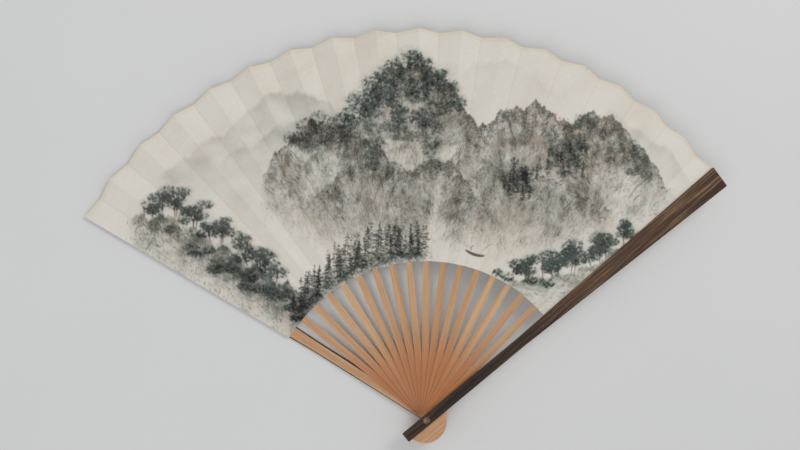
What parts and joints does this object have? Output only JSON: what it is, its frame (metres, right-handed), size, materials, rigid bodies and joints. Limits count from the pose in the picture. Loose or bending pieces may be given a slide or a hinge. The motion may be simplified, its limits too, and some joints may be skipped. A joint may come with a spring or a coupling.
{
  "type": "folding hand fan",
  "caption": "Folding hand fan: bamboo ribs and dark-faced guards turning on one rivet, with a pleated paper leaf carrying an ink landscape.",
  "frame": {"origin": "on the rivet's axis, in the plane of the back guard's outer face, which the open fan lies on", "axes": "+Z along the rivet, from the back guard to the front guard and out of the painted face; +Y along the open fan's centre line, from the rivet to the leaf; +X towards the front guard"},
  "size_m": [0.5222, 0.3342, 0.0247],
  "materials": {
    "rib_bamboo": "satin",
    "guard_bamboo": "satin",
    "dark_wood": "satin",
    "leaf_paper": "matte",
    "rivet_horn": "polished horn"
  },
  "bodies": {
    "back_guard": {"back_guard_facing": "dark_wood", "back_guard": "guard_bamboo", "leaf_panel_00": "leaf_paper", "rivet_pin": "rivet_horn", "rivet_cap_back": "rivet_horn", "rivet_cap_front": "rivet_horn"},
    "rib_01": {"rib_01": "rib_bamboo", "leaf_panel_01": "leaf_paper", "leaf_fold_01": "leaf_paper"},
    "rib_02": {"rib_02": "rib_bamboo", "leaf_panel_02": "leaf_paper", "leaf_fold_02": "leaf_paper"},
    "rib_03": {"rib_03": "rib_bamboo", "leaf_panel_03": "leaf_paper", "leaf_fold_03": "leaf_paper"},
    "rib_04": {"rib_04": "rib_bamboo", "leaf_panel_04": "leaf_paper", "leaf_fold_04": "leaf_paper"},
    "rib_05": {"rib_05": "rib_bamboo", "leaf_panel_05": "leaf_paper", "leaf_fold_05": "leaf_paper"},
    "rib_06": {"rib_06": "rib_bamboo", "leaf_panel_06": "leaf_paper", "leaf_fold_06": "leaf_paper"},
    "rib_07": {"rib_07": "rib_bamboo", "leaf_panel_07": "leaf_paper", "leaf_fold_07": "leaf_paper"},
    "rib_08": {"rib_08": "rib_bamboo", "leaf_panel_08": "leaf_paper", "leaf_fold_08": "leaf_paper"},
    "rib_09": {"rib_09": "rib_bamboo", "leaf_panel_09": "leaf_paper", "leaf_fold_09": "leaf_paper"},
    "rib_10": {"rib_10": "rib_bamboo", "leaf_panel_10": "leaf_paper", "leaf_fold_10": "leaf_paper"},
    "rib_11": {"rib_11": "rib_bamboo", "leaf_panel_11": "leaf_paper", "leaf_fold_11": "leaf_paper"},
    "rib_12": {"rib_12": "rib_bamboo", "leaf_panel_12": "leaf_paper", "leaf_fold_12": "leaf_paper"},
    "rib_13": {"rib_13": "rib_bamboo", "leaf_panel_13": "leaf_paper", "leaf_fold_13": "leaf_paper"},
    "rib_14": {"rib_14": "rib_bamboo", "leaf_panel_14": "leaf_paper", "leaf_fold_14": "leaf_paper"},
    "rib_15": {"rib_15": "rib_bamboo", "leaf_panel_15": "leaf_paper", "leaf_fold_15": "leaf_paper"},
    "rib_16": {"rib_16": "rib_bamboo", "leaf_panel_16": "leaf_paper", "leaf_fold_16": "leaf_paper"},
    "front_guard": {"front_guard": "guard_bamboo", "front_guard_facing": "dark_wood", "leaf_panel_17": "leaf_paper", "leaf_fold_17": "leaf_paper"}
  },
  "joints": [
    {"name": "fold_01", "type": "hinge", "parent": "back_guard", "child": "rib_01", "pos_m": [0, 0, 0], "axis": [0, 0, 1], "range_deg": [0, 6.35], "deforming": ["leaf_fold_01"]},
    {"name": "fold_02", "type": "hinge", "parent": "rib_01", "child": "rib_02", "pos_m": [0, 0, 0], "axis": [0, 0, 1], "range_deg": [0, 6.35], "deforming": ["leaf_fold_02"]},
    {"name": "fold_03", "type": "hinge", "parent": "rib_02", "child": "rib_03", "pos_m": [0, 0, 0], "axis": [0, 0, 1], "range_deg": [0, 6.35], "deforming": ["leaf_fold_03"]},
    {"name": "fold_04", "type": "hinge", "parent": "rib_03", "child": "rib_04", "pos_m": [0, 0, 0], "axis": [0, 0, 1], "range_deg": [0, 6.35], "deforming": ["leaf_fold_04"]},
    {"name": "fold_05", "type": "hinge", "parent": "rib_04", "child": "rib_05", "pos_m": [0, 0, 0], "axis": [0, 0, 1], "range_deg": [0, 6.35], "deforming": ["leaf_fold_05"]},
    {"name": "fold_06", "type": "hinge", "parent": "rib_05", "child": "rib_06", "pos_m": [0, 0, 0], "axis": [0, 0, 1], "range_deg": [0, 6.35], "deforming": ["leaf_fold_06"]},
    {"name": "fold_07", "type": "hinge", "parent": "rib_06", "child": "rib_07", "pos_m": [0, 0, 0], "axis": [0, 0, 1], "range_deg": [0, 6.35], "deforming": ["leaf_fold_07"]},
    {"name": "fold_08", "type": "hinge", "parent": "rib_07", "child": "rib_08", "pos_m": [0, 0, 0], "axis": [0, 0, 1], "range_deg": [0, 6.35], "deforming": ["leaf_fold_08"]},
    {"name": "fold_09", "type": "hinge", "parent": "rib_08", "child": "rib_09", "pos_m": [0, 0, 0], "axis": [0, 0, 1], "range_deg": [0, 6.35], "deforming": ["leaf_fold_09"]},
    {"name": "fold_10", "type": "hinge", "parent": "rib_09", "child": "rib_10", "pos_m": [0, 0, 0], "axis": [0, 0, 1], "range_deg": [0, 6.35], "deforming": ["leaf_fold_10"]},
    {"name": "fold_11", "type": "hinge", "parent": "rib_10", "child": "rib_11", "pos_m": [0, 0, 0], "axis": [0, 0, 1], "range_deg": [0, 6.35], "deforming": ["leaf_fold_11"]},
    {"name": "fold_12", "type": "hinge", "parent": "rib_11", "child": "rib_12", "pos_m": [0, 0, 0], "axis": [0, 0, 1], "range_deg": [0, 6.35], "deforming": ["leaf_fold_12"]},
    {"name": "fold_13", "type": "hinge", "parent": "rib_12", "child": "rib_13", "pos_m": [0, 0, 0], "axis": [0, 0, 1], "range_deg": [0, 6.35], "deforming": ["leaf_fold_13"]},
    {"name": "fold_14", "type": "hinge", "parent": "rib_13", "child": "rib_14", "pos_m": [0, 0, 0], "axis": [0, 0, 1], "range_deg": [0, 6.35], "deforming": ["leaf_fold_14"]},
    {"name": "fold_15", "type": "hinge", "parent": "rib_14", "child": "rib_15", "pos_m": [0, 0, 0], "axis": [0, 0, 1], "range_deg": [0, 6.35], "deforming": ["leaf_fold_15"]},
    {"name": "fold_16", "type": "hinge", "parent": "rib_15", "child": "rib_16", "pos_m": [0, 0, 0], "axis": [0, 0, 1], "range_deg": [0, 6.35], "deforming": ["leaf_fold_16"]},
    {"name": "fold_17", "type": "hinge", "parent": "rib_16", "child": "front_guard", "pos_m": [0, 0, 0], "axis": [0, 0, 1], "range_deg": [0, 6.35], "deforming": ["leaf_fold_17"]}
  ],
  "couplings": [
    {"joint": "fold_02", "follows": "fold_01", "ratio": 1},
    {"joint": "fold_03", "follows": "fold_01", "ratio": 1},
    {"joint": "fold_04", "follows": "fold_01", "ratio": 1},
    {"joint": "fold_05", "follows": "fold_01", "ratio": 1},
    {"joint": "fold_06", "follows": "fold_01", "ratio": 1},
    {"joint": "fold_07", "follows": "fold_01", "ratio": 1},
    {"joint": "fold_08", "follows": "fold_01", "ratio": 1},
    {"joint": "fold_09", "follows": "fold_01", "ratio": 1},
    {"joint": "fold_10", "follows": "fold_01", "ratio": 1},
    {"joint": "fold_11", "follows": "fold_01", "ratio": 1},
    {"joint": "fold_12", "follows": "fold_01", "ratio": 1},
    {"joint": "fold_13", "follows": "fold_01", "ratio": 1},
    {"joint": "fold_14", "follows": "fold_01", "ratio": 1},
    {"joint": "fold_15", "follows": "fold_01", "ratio": 1},
    {"joint": "fold_16", "follows": "fold_01", "ratio": 1},
    {"joint": "fold_17", "follows": "fold_01", "ratio": 1}
  ]
}
